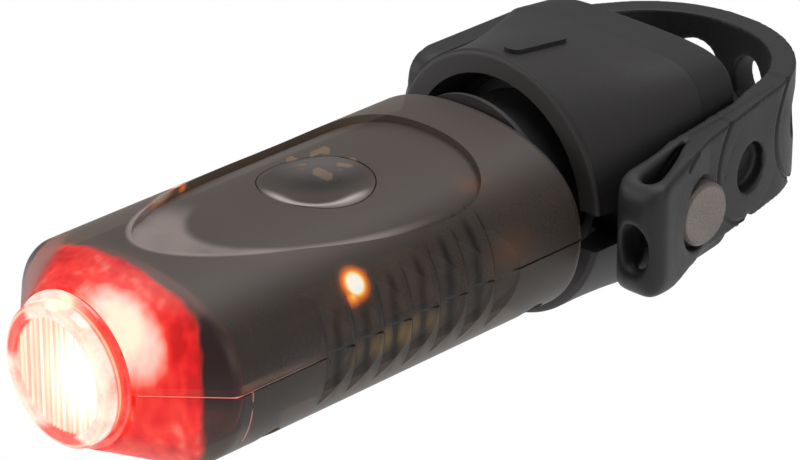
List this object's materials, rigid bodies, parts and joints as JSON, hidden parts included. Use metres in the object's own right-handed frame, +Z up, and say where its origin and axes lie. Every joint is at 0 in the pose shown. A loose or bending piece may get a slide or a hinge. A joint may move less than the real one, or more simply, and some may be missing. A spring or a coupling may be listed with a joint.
{
  "type": "bicycle tail light",
  "caption": "Long smoked tail light with a stepped clear nose, thumb-pad button, amber side lights and a push-in rubber mount held to the seat post by a ladder strap.",
  "frame": {"origin": "centre of the saddle face at the rear of the mount, where it bears on the seat post", "axes": "+Y from the lamp towards the seat post (the light shines along -Y), +Z up with the bicycle standing, +X the side with the strap's open stud"},
  "size_m": [0.0529, 0.122, 0.036],
  "materials": {
    "smoked_shell": "smoke-tinted clear plastic with a fine satin texture",
    "seal_rubber": "matt rubber",
    "screw_steel": "plain steel",
    "clear_lens": "clear polished plastic",
    "red_guide": "red diffusing plastic",
    "reflector_chrome": "bright metallised",
    "red_light": "light source, lit red",
    "board_dark": "dark circuit board",
    "sink_aluminium": "plain aluminium",
    "pin_brass": "plain brass",
    "board_green": "green solder mask",
    "chip_black": "moulded black",
    "capacitor_tan": "tan ceramic",
    "switch_dark": "moulded black",
    "amber_light": "light source, lit amber",
    "cell_foil": "foil pouch",
    "tape_tan": "tan film tape",
    "tray_black": "moulded black",
    "plug_white": "moulded off-white",
    "lead_red": "insulated wire",
    "lead_black": "insulated wire",
    "stem_plastic": "moulded black",
    "port_steel": "plated steel",
    "mount_plastic": "matt charcoal with a fine texture",
    "bush_plastic": "moulded black",
    "pad_rubber": "matt charcoal rubber",
    "stud_plastic": "grey-brown, satin",
    "strap_rubber": "matt charcoal rubber"
  },
  "bodies": {
    "mount": {"mount_housing": "mount_plastic", "stem_bush": "bush_plastic", "saddle_pad": "pad_rubber", "strap_studs": "stud_plastic", "strap_band": "strap_rubber"},
    "light": {"upper_shell": "smoked_shell", "lower_shell": "smoked_shell", "shell_seal": "seal_rubber", "shell_screws": "screw_steel", "nose_lens": "clear_lens", "lens_gasket": "seal_rubber", "light_guide": "red_guide", "reflector": "reflector_chrome", "red_led": "red_light", "led_board": "board_dark", "heat_sink": "sink_aluminium", "led_pins": "pin_brass", "main_board": "board_green", "board_screws": "screw_steel", "control_chip": "chip_black", "chip_capacitors": "capacitor_tan", "tact_switch": "switch_dark", "side_led_left": "amber_light", "side_led_right": "amber_light", "battery": "cell_foil", "battery_tape": "tape_tan", "battery_tray": "tray_black", "battery_connector": "plug_white", "battery_lead_red": "lead_red", "battery_lead_black": "lead_black", "rear_stem": "stem_plastic", "stem_lip": "seal_rubber", "stem_o_ring": "seal_rubber", "usb_port": "port_steel", "charge_board": "board_green"},
    "button": {"push_button": "smoked_shell", "switch_plunger": "chip_black"},
    "strap_end": {"strap_tail": "strap_rubber"}
  },
  "joints": [
    {"name": "light_pull", "type": "slide", "parent": "mount", "child": "light", "axis": [0, -1, 0], "range_m": [0, 0.016]},
    {"name": "button_press", "type": "slide", "parent": "light", "child": "button", "axis": [0, 0, -1], "range_m": [0, 0.0004], "stiffness_N_per_m": 2000, "springref_m": -0.0004},
    {"name": "strap_release", "type": "hinge", "parent": "mount", "child": "strap_end", "pos_m": [0.01767, 0.00705, 0.0015], "axis": [0, 0, 1], "range_deg": [0, 60], "stiffness_Nm_per_rad": 0.02, "springref_deg": -5.73, "deforming": ["strap_tail"]}
  ]
}
